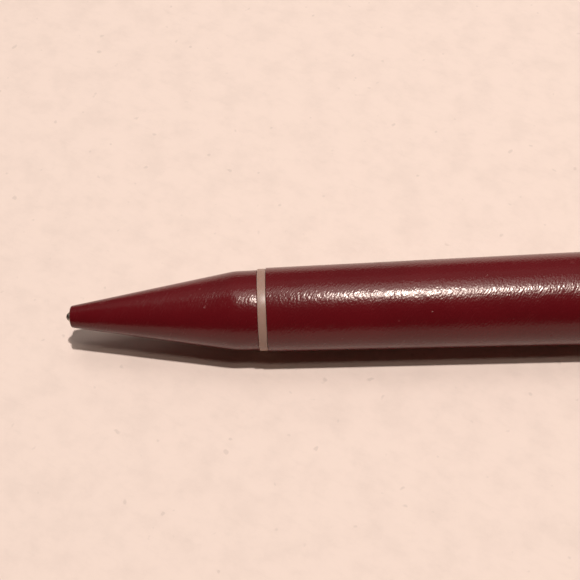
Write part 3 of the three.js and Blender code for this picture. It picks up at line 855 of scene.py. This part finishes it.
def collar_surface():
    """The end collar: a domed ring with a spigot that plugs the barrel, and a lug for the clip with a pocket
    in its front face. The lug is a rounded bar that starts inside its own pocket and turns back over it."""
    shape = bpy.context.scene.pen_shape
    flange, bore, spigot = BARREL_REAR + shape.seam, 3.2, BARREL_BORE - 0.02
    outline = [[123, bore], [COLLAR_FRONT, bore], [COLLAR_FRONT, spigot], [flange, spigot]]
    outline += [[flange, REAR_EDGE], [COLLAR_REAR - 1.5, 5.05], [COLLAR_REAR - 0.35, 4.75]]
    outline += [[COLLAR_REAR, 4.1], [COLLAR_REAR, bore], [123, bore]]
    radii = [0.08, 0.15, 0.05, shape.edge_round, 2.0, 0.6, 0.35, 0.12]
    ring = revolve(fillet(outline, radii, 7)[:-1], shape.sides, close=True)
    front, rear, half, low, top = BARREL_REAR + 0.5, COLLAR_REAR - 0.4, 1.8, 4.3, 8.6
    pocket_end, pocket = TONGUE_END + 0.2, [1.45, 0.65, 0.1]
    stations = [[pocket_end, TONGUE_HEIGHT, *CLOSED], [pocket_end, TONGUE_HEIGHT, 1.35, 0.55, 0.1]]
    pocket_s = [pocket_end - 0.1, *np.linspace(pocket_end - 0.3, front + 0.06, 6)]
    stations += [[s, TONGUE_HEIGHT, *pocket] for s in pocket_s]
    stations += [[front, TONGUE_HEIGHT, 1.5, 0.7, 0.12]]
    stations += rounded_end(front, (low + top) / 2, half, (top - low) / 2, 0.14, 0.16)
    # The rear face leans forward: its top edge is an ellipse from the flat outer face to the back.
    lean = 1.7
    for t in np.linspace(0, 1, 14) ** 0.8:
        drop = lean * (1 - math.sqrt(1 - 0.999 * t**2)) ** 0.9
        s = rear - lean + (lean - 0.02) * t
        middle, tall = (low + top - drop) / 2, (top - low - drop) / 2
        stations.append([s, middle, half - 0.2 * t**6, tall, 0.16 + 0.2 * t])
    end = stations[-1]
    stations += [[rear, end[1], end[2] - 0.12, end[3] - 0.12, 0.2], [rear, end[1], *CLOSED]]
    return joined([ring, loft(stations)])


def clip_surface():
    """The clip: a tongue in the lug's pocket, a flat springy arm that narrows forwards, and a front end that
    bellies down to a pad just clear of the barrel and closes in an ellipse."""
    shape = bpy.context.scene.pen_shape
    top, under, half = 8.2, 6.9, 1.8
    shoulder, belly, pad_s = BARREL_REAR + 0.3, 97.6, CLIP_FRONT + 3.0
    pad_clear = shape.barrel_radius + 0.12
    narrowing, end_drop = 0.2, 0.28
    end_radius = half - narrowing

    def narrow(s):
        return half - narrowing * (shoulder - s) / (shoulder - CLIP_FRONT - end_radius)

    stations = [[TONGUE_END, TONGUE_HEIGHT, *CLOSED], [TONGUE_END, TONGUE_HEIGHT, 1.15, 0.35, 0.08]]
    stations += [[s, TONGUE_HEIGHT, 1.25, 0.44, 0.1] for s in (TONGUE_END - 0.1, shoulder + 0.3, shoulder)]
    middle, tall = (top + under) / 2, (top - under) / 2
    stations += rounded_end(shoulder, middle, half, tall, -0.16, 0.2)
    stations += [[s, middle, narrow(s), tall, 0.2] for s in np.linspace(shoulder - 1, belly + 0.4, 16)]
    for s in np.linspace(belly, pad_s, 22)[:-1]:
        t = (belly - s) / (belly - pad_s)
        low = under - (under - pad_clear) * float(step_up(t, 0.0, 1.0))
        high = top - end_drop * t**2
        stations.append([s, (low + high) / 2, narrow(s), (high - low) / 2, 0.2 + 0.35 * t])
    high = top - end_drop
    for a in np.linspace(0, math.pi / 2, 22):
        s = pad_s - (pad_s - CLIP_FRONT) * math.sin(a)
        middle = (high + pad_clear) / 2 - 0.05 * math.sin(a) ** 2
        tall = max((high - pad_clear) / 2 * math.cos(a) ** 0.9, 0.001)
        from_end = max(CLIP_FRONT + end_radius - s, 0) / end_radius
        wide = max(narrow(s) * math.sqrt(max(1 - from_end**2, 0)), 0.001)
        stations.append([s, middle, wide, tall, 0.55 + 0.4 * math.sin(a)])
    return loft(stations)


def button_surface():
    """The push button: a plain plunger with a well rounded end and a flat disc for the thumb."""
    shape = bpy.context.scene.pen_shape
    radius, socket, floor = shape.button_radius, 2.7, BUTTON_FRONT + 12.4
    outline = [[floor, 0], [floor, socket], [BUTTON_FRONT, socket], [BUTTON_FRONT, radius]]
    outline += [[BUTTON_REAR, radius], [BUTTON_REAR, 0]]
    return revolve(fillet(outline, [0.2, 0.05, 0.08, 1.0], 12), shape.sides)


def thrust_tube_surface():
    """The thrust tube: its front edge is a zigzag of eight teeth, and four lugs run in the barrel between
    the stops."""
    crest, radius, bore = RIB_TIP - TOOTH_RISE * 2 * DEG + 0.1, 2.68, 2.0
    rear = BUTTON_FRONT + 12.3
    lug_front, lug_rear, lug_height = 117, 119.5, 0.72
    lug_s = [lug_front - 0.1, *np.linspace(lug_front, lug_rear, 6), lug_rear + 0.1]
    outline = [[rear - 2, bore], [crest + 1.6, bore], [crest, bore], [crest, radius], [crest + 1.6, radius]]
    outline += [[s, radius] for s in lug_s] + [[rear, radius], [rear, bore], [rear - 2, bore]]
    outline = fillet(outline, [0, 0.06, 0.06] + [0] * (len(lug_s) + 1) + [0.1, 0.1], 3)

    def cut(s, radius_now, angle):
        turns = angle_from(angle, CREST_ANGLE, 2 * TOOTH_HALF) / TOOTH_HALF
        zigzag = np.where(s < crest + 1, np.abs(turns), 0)
        lug = step_up(32 * DEG - np.abs(angle_from(angle, 0, RIB_STEP)), 0, 1.5 * DEG)
        on_lug = (s > lug_front - 0.05) & (s < lug_rear + 0.05) & (radius_now > radius - 0.01)
        return s + zigzag, radius_now + np.where(on_lug, lug_height * lug, 0)

    return revolve(outline[:-1], LATCH_SIDES, cut, close=True)


def rotor_surface():
    """The latch rotor: a socket for the refill's end, a pilot that centres it in the thrust tube, and four
    ribs whose slanted rear faces ride on the tube's teeth."""
    body, socket, pilot, rib = 2.2, 1.62, 1.85, 3.4
    front, floor, rib_front, end = 103, 107.25, RIB_TIP - 3.4, RIB_TIP + 5.5
    rib_s = [rib_front + 0.05, *np.linspace(rib_front + 0.1, RIB_TIP - 1.0, 6), RIB_TIP - 0.05, RIB_TIP]
    rows = [[s, pilot] for s in rib_s]
    outline = [[floor, 0], [floor, socket], [front, socket], [front, 2.0], [front + 0.3, body]]
    outline += [[rib_front, body], [rib_front, pilot]]
    outline = fillet(outline, [0.1, 0.05, 0.05, 0.1, 0.06], 4)
    tail = fillet([[RIB_TIP + 0.05, pilot], [end - 0.5, pilot], [end, pilot - 0.5], [end, 0]], 0.15, 4)
    tip = CREST_ANGLE + 2 * DEG

    def raise_ribs(s, radius, angle):
        behind = angle_from(angle, tip - 10 * DEG, RIB_STEP)
        on_rib = step_up(10.6 * DEG - np.abs(behind), 0, 1.2 * DEG)
        rib_row = (s > rib_front + 0.02) & (s <= RIB_TIP - 0.04)
        near_end = step_up(s, RIB_TIP - 1.2, RIB_TIP - 0.06) * (s < RIB_TIP + 0.02)
        near_rib = step_up(14 * DEG - np.abs(behind), 0, 2 * DEG)
        slant = TOOTH_RISE * np.clip(behind - 10 * DEG, -20 * DEG, 0) * near_end * near_rib
        return s + slant, radius + np.where(rib_row, (rib - pilot) * on_rib, 0)

    return revolve(np.vstack([outline, rows, tail]), LATCH_SIDES, raise_ribs)


def ball_surface():
    """The writing ball: a half circle turned round the axis."""
    t = np.linspace(0, math.pi, 25)
    outline = np.stack([BALL_CENTRE - BALL_RADIUS * np.cos(t), BALL_RADIUS * np.sin(t)], axis=-1)
    return revolve(outline, SMALL_SIDES)


def point_surface():
    """The writing point: a lip rolled over the ball, a slim nose, a stout body and a stem for the holder."""
    lip, nose, body, stem, channel = BALL_CENTRE - 0.17, 0.70, 1.15, 0.90, 0.35
    outline = [[2.4, channel], [2.0, 0.2], [lip + 0.75, 0.2], [lip + 0.35, 0.53], [BALL_CENTRE, 0.53]]
    outline += [[lip, 0.5], [lip, 0.56], [lip + 0.45, 0.62], [lip + 1.57, nose], [7.0, nose], [7.8, body]]
    outline += [[13.6, body], [13.6, stem], [POINT_REAR, stem], [POINT_REAR, channel], [2.4, channel]]
    radii = [0.1, 0.1, 0.05, 0.05, 0.02, 0.03, 0.4, 0.6, 0.25, 0.25, 0.06, 0.05, 0.1, 0.05]
    return revolve(fillet(outline, radii, 5)[:-1], REFILL_SIDES, close=True)


def holder_surface():
    """The point's holder: a sleeve over the stem, the flange that the spring pushes on, and a tube stub."""
    sleeve_bore, ink_bore, sleeve, flange = 0.92, 0.5, 1.4, 2.0
    inside, flange_rear, stub_end = [17, sleeve_bore], TUBE_FRONT - 0.1, TUBE_FRONT + 5
    outline = [inside, [13.63, sleeve_bore], [13.63, 1.3], [14.0, sleeve], [HOLDER_FLANGE, sleeve]]
    outline += [[HOLDER_FLANGE, flange], [flange_rear, flange], [flange_rear, TUBE_FILL]]
    outline += [[stub_end, TUBE_FILL], [stub_end, ink_bore], [18.6, ink_bore], [18.2, sleeve_bore], inside]
    return revolve(fillet(outline, 0.06, 4)[:-1], REFILL_SIDES, close=True)


def tube_surface():
    """The refill's tube, cut square at both ends."""
    inside = [60, TUBE_BORE]
    outline = [inside, [TUBE_FRONT, TUBE_BORE], [TUBE_FRONT, TUBE_RADIUS], [TUBE_REAR, TUBE_RADIUS]]
    outline += [[TUBE_REAR, TUBE_BORE], inside]
    return revolve(fillet(outline, 0.05, 4)[:-1], REFILL_SIDES, close=True)


def ink_surface():
    """The ink: a column that ends in a hollow meniscus."""
    front, end, hollow = TUBE_FRONT + 5.1, 92.0, 0.4
    t = np.linspace(1, 0, 10)[:, None]
    meniscus = np.hstack([end - hollow * (1 - t**2), TUBE_FILL * t])
    return revolve(np.vstack([[[front, 0], [front, TUBE_FILL]], meniscus]), SMALL_SIDES)


def plug_surface():
    """The tail plug: a stub in the tube and a cap on its end, with the vent through both."""
    vent, cap_front, cap_rear, stub_end = 0.35, TUBE_REAR + 0.02, TUBE_REAR + 1.1, TUBE_REAR - 4
    outline = [[TUBE_REAR, vent], [stub_end, vent], [stub_end, TUBE_FILL], [cap_front, TUBE_FILL]]
    outline += [[cap_front, TUBE_RADIUS], [cap_rear, TUBE_RADIUS], [cap_rear, vent], [TUBE_REAR, vent]]
    return revolve(fillet(outline, [0.05, 0.15, 0.05, 0.05, 0.2, 0.05], 5)[:-1], REFILL_SIDES, close=True)


def spring_surface():
    """The return spring: a circle of wire carried along a helix. Its turns lie close at both ends and open
    in between, and its ends are closed by a row that shrinks to a point."""
    wire, mean, close_turns, points_per_turn, wire_sides = 0.18, 1.7, 1.5, 44, 14
    turns = bpy.context.scene.pen_shape.spring_turns
    close_pitch = 2 * wire + 0.06
    front, rear = SPRING_SEAT + 0.05 + wire, HOLDER_FLANGE - 0.05 - wire
    open_turns = turns - 2 * close_turns
    open_pitch = (rear - front - 2 * close_turns * close_pitch) / open_turns
    t = np.linspace(0, turns, int(turns * points_per_turn) + 1)
    opened = np.clip(t - close_turns, 0, open_turns)
    s = front + close_pitch * (t - opened) + open_pitch * opened
    angle = 2 * math.pi * t
    centre = np.stack([s, mean * np.cos(angle), mean * np.sin(angle)], axis=-1)
    radial = np.stack([0 * s, np.cos(angle), np.sin(angle)], axis=-1)
    tangent = np.gradient(centre, axis=0)
    tangent /= np.linalg.norm(tangent, axis=1, keepdims=True)
    side = np.cross(tangent, radial)
    around_wire = 2 * math.pi * np.arange(wire_sides) / wire_sides
    size = np.full(len(t), wire)
    centre, radial, side = (np.vstack([v[:1], v, v[-1:]]) for v in (centre, radial, side))
    size = np.concatenate([[0], size, [0]])[:, None, None]
    points = centre[:, None] + size * (np.cos(around_wire)[None, :, None] * radial[:, None]
                                       + np.sin(around_wire)[None, :, None] * side[:, None])
    grid = (points + np.array([TIP_X, AXIS_Y, AXIS_Z])) * MM
    run = np.concatenate([[0], 2 * math.pi * mean * t, [2 * math.pi * mean * turns]])[:, None]
    uv = np.stack([run + 0 * around_wire, wire * around_wire + 0 * run], axis=-1)
    return surface_of(grid, (uv, 2 * math.pi * wire + 0 * run + 0 * around_wire))


# ---------------------------------------------------------------- operators

# Each group of like pieces: the CAD node, its surface and the name of the finish that it takes.
GROUPS = {
    "nose": [("nose_cone", cone_surface, "burgundy_plastic")],
    "trim": [("trim_ring", ring_surface, "white_plastic")],
    "barrel": [("barrel", barrel_surface, "burgundy_plastic")],
    "collar": [("end_collar", collar_surface, "white_plastic")],
    "clip": [("clip", clip_surface, "white_plastic")],
    "button": [("push_button", button_surface, "white_plastic")],
    "latch": [
        ("thrust_tube", thrust_tube_surface, "latch_plastic"),
        ("cam_rotor", rotor_surface, "latch_plastic"),
    ],
    "point": [
        ("writing_ball", ball_surface, "carbide_ball"),
        ("refill_point", point_surface, "nickel_silver"),
    ],
    "refill": [
        ("point_holder", holder_surface, "refill_plastic"),
        ("refill_tube", tube_surface, "tube_plastic"),
        ("ink_column", ink_surface, "ink"),
        ("tail_plug", plug_surface, "refill_plastic"),
    ],
}


def build_group(group):
    """Makes every piece of a group."""
    for node, surface, slot in GROUPS[group]:
        make_piece("fine_" + node, surface(), material(slot))


class BuildNose(bpy.types.Operator):
    """Make the nose cone"""

    bl_idname = "pen.nose"
    bl_label = "Nose Cone"

    def execute(self, context):
        build_group("nose")
        return {"FINISHED"}


class BuildTrim(bpy.types.Operator):
    """Make the trim ring between nose and barrel"""

    bl_idname = "pen.trim"
    bl_label = "Trim Ring"

    def execute(self, context):
        build_group("trim")
        return {"FINISHED"}


class BuildBarrel(bpy.types.Operator):
    """Make the barrel"""

    bl_idname = "pen.barrel"
    bl_label = "Barrel"

    def execute(self, context):
        build_group("barrel")
        return {"FINISHED"}


class BuildCollar(bpy.types.Operator):
    """Make the end collar with the clip's lug"""

    bl_idname = "pen.collar"
    bl_label = "End Collar"

    def execute(self, context):
        build_group("collar")
        return {"FINISHED"}


class BuildClip(bpy.types.Operator):
    """Make the pocket clip"""

    bl_idname = "pen.clip"
    bl_label = "Clip"

    def execute(self, context):
        build_group("clip")
        return {"FINISHED"}


class BuildButton(bpy.types.Operator):
    """Make the push button"""

    bl_idname = "pen.button"
    bl_label = "Push Button"

    def execute(self, context):
        build_group("button")
        return {"FINISHED"}


class BuildLatch(bpy.types.Operator):
    """Make the thrust tube and the latch rotor"""

    bl_idname = "pen.latch"
    bl_label = "Latch"

    def execute(self, context):
        build_group("latch")
        return {"FINISHED"}


class BuildPoint(bpy.types.Operator):
    """Make the writing point and its ball"""

    bl_idname = "pen.point"
    bl_label = "Writing Point"

    def execute(self, context):
        build_group("point")
        return {"FINISHED"}


class BuildRefill(bpy.types.Operator):
    """Make the holder, the tube, its ink and its plug"""

    bl_idname = "pen.refill"
    bl_label = "Refill"

    def execute(self, context):
        build_group("refill")
        return {"FINISHED"}


class BuildSpring(bpy.types.Operator):
    """Make the return spring. How far it shortens towards its seat in the cone as the refill slides is worked
    out but not applied
    """

    bl_idname = "pen.spring"
    bl_label = "Return Spring"

    def execute(self, context):
        name = "fine_return_spring"
        spring = make_piece(name, spring_surface(), material("spring_steel"))
        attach(spring, "barrel")
        travel = next(j["range_m"][1] for j in frame["joints"] if j["name"] == "refill_slide") / MM
        keep = 1 - travel / (HOLDER_FLANGE - SPRING_SEAT)
        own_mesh(spring)
        return {"FINISHED"}


# ---------------------------------------------------------------- stage

SHEET_HALF = 1.2  # metres from the sheet's middle to its edges
SHEET_CELLS = 8
KEY_ALONG = 0.12  # how far towards the button the small lamps hang, as a share of their height
LAMP_COLOUR = (1.0, 0.95, 0.90)
SIDE_COLOUR = (1.0, 0.88, 0.76)
WALL_TILT = 60 * DEG
WALL_SIZE = 0.45
WALL_POWER = 0.15
ROOM_COLOUR = (1.0, 0.64, 0.46, 1)


def floor_plane():
    """The sheet the pen lies on: a flat grid of points at height 0."""
    points = SHEET_CELLS + 1
    steps = np.linspace(-SHEET_HALF, SHEET_HALF, points)
    x, y = np.meshgrid(steps, steps)
    vertices = np.stack([x, y, 0 * x], axis=-1).reshape(-1, 3)
    row, column = np.meshgrid(np.arange(SHEET_CELLS), np.arange(SHEET_CELLS), indexing="ij")
    first = (row * points + column).reshape(-1)
    faces = np.stack([first, first + 1, first + points + 1, first + points], axis=-1)
    mesh = bpy.data.meshes.new("sheet")
    mesh.from_pydata(vertices.tolist(), [], faces.tolist())
    mesh.materials.append(material("paper"))
    sheet = bpy.data.objects.new("sheet", mesh)
    bpy.context.scene.collection.objects.link(sheet)
    return sheet


def lamp(name, direction, size, power, colour=LAMP_COLOUR, wide=1.0):
    """An area lamp that faces the point the camera looks at, from a direction whose length is 1 at the key's
    height. It is as wide along the pen as its size times wide."""
    stage = bpy.context.scene.pen_stage
    data = bpy.data.lights.new(name, "AREA")
    data.shape = "ELLIPSE"
    data.size, data.size_y, data.energy, data.color = size * wide, size, power, colour
    made = bpy.data.objects.new(name, data)
    made.location = aim_point() + Vector(direction) * stage.key_height
    made.rotation_euler = (-Vector(direction)).to_track_quat("-Z", "Y").to_euler()
    bpy.context.scene.collection.objects.link(made)


def aim_point():
    """The point that the camera and the lamps face."""
    stage = bpy.context.scene.pen_stage
    return Vector(((TIP_X + stage.aim_s) * MM, (AXIS_Y + stage.aim_side) * MM, AXIS_Z * MM))


def tilted(tilt, along=0.0):
    """A direction tilted from overhead to behind the pen, with a part along the pen."""
    return (along, math.sin(tilt), math.cos(tilt))


class BuildStage(bpy.types.Operator):
    """Make the sheet, the lamps and the camera"""

    bl_idname = "pen.stage"
    bl_label = "Stage"

    def execute(self, context):
        stage = context.scene.pen_stage
        floor_plane()
        aim = aim_point()
        back = Vector((0, -math.cos(stage.elevation), math.sin(stage.elevation)))
        data = bpy.data.cameras.new("camera")
        data.lens, data.sensor_width = stage.lens, 36
        data.clip_start, data.clip_end = 0.005, 20
        camera = bpy.data.objects.new("camera", data)
        look = (-back).to_track_quat("-Z", "Y").to_matrix().to_4x4()
        roll = Matrix.Rotation(-stage.roll, 4, "Z")
        camera.matrix_world = Matrix.Translation(aim + back * stage.distance) @ look @ roll
        context.scene.collection.objects.link(camera)
        context.scene.camera = camera
        lamp("key", tilted(stage.key_tilt, KEY_ALONG), stage.key_size, stage.key_power)
        side_power = stage.key_power * stage.side_share
        lamp("side", tilted(stage.side_tilt, KEY_ALONG), stage.side_size, side_power, SIDE_COLOUR)
        lamp("glow", tilted(stage.glow_tilt), stage.glow_size, stage.glow_power, wide=1.6)
        lamp("back", tilted(stage.back_tilt), stage.back_size, stage.back_power, wide=3.5)
        lamp("wall", tilted(WALL_TILT), WALL_SIZE, WALL_POWER, wide=2.0)
        world = bpy.data.worlds.new("room")
        world.use_nodes = True
        background = world.node_tree.nodes["Background"]
        background.inputs["Color"].default_value = ROOM_COLOUR
        background.inputs["Strength"].default_value = stage.fill_strength
        context.scene.world = world
        context.scene.view_settings.view_transform = "Standard"
        return {"FINISHED"}


class PenPanel(bpy.types.Panel):
    """Lists the pieces, the sizes and the finishes"""

    bl_idname = "VIEW3D_PT_pen"
    bl_label = "Click Ballpoint Pen"
    bl_space_type = "VIEW_3D"
    bl_region_type = "UI"
    bl_category = "Pen"

    def draw(self, context):
        for group in (context.scene.pen_shape, context.scene.pen_finish, context.scene.pen_stage):
            for name in group.__annotations__:
                self.layout.prop(group, name)
        for operator in OPERATORS:
            self.layout.operator(operator.bl_idname)


OPERATORS = (
    BuildStage, BuildNose, BuildTrim, BuildBarrel, BuildCollar, BuildClip, BuildButton, BuildLatch,
    BuildPoint, BuildRefill, BuildSpring,
)
PROPERTIES = {"pen_shape": PenShape, "pen_finish": PenFinish, "pen_stage": PenStage}


def register():
    """Registers the property groups, the operators and the panel."""
    for name, group in PROPERTIES.items():
        bpy.utils.register_class(group)
        setattr(bpy.types.Scene, name, PointerProperty(type=group))
    for made in (*OPERATORS, PenPanel):
        bpy.utils.register_class(made)


def unregister():
    """Takes back everything that register added."""
    for made in reversed((*OPERATORS, PenPanel)):
        bpy.utils.unregister_class(made)
    for name, group in PROPERTIES.items():
        delattr(bpy.types.Scene, name)
        bpy.utils.unregister_class(group)


def main():
    """Makes the stage and every piece."""
    register()
    for operator in OPERATORS:
        category, name = operator.bl_idname.split(".")
        getattr(getattr(bpy.ops, category), name)()


if __name__ == "__main__":
    main()
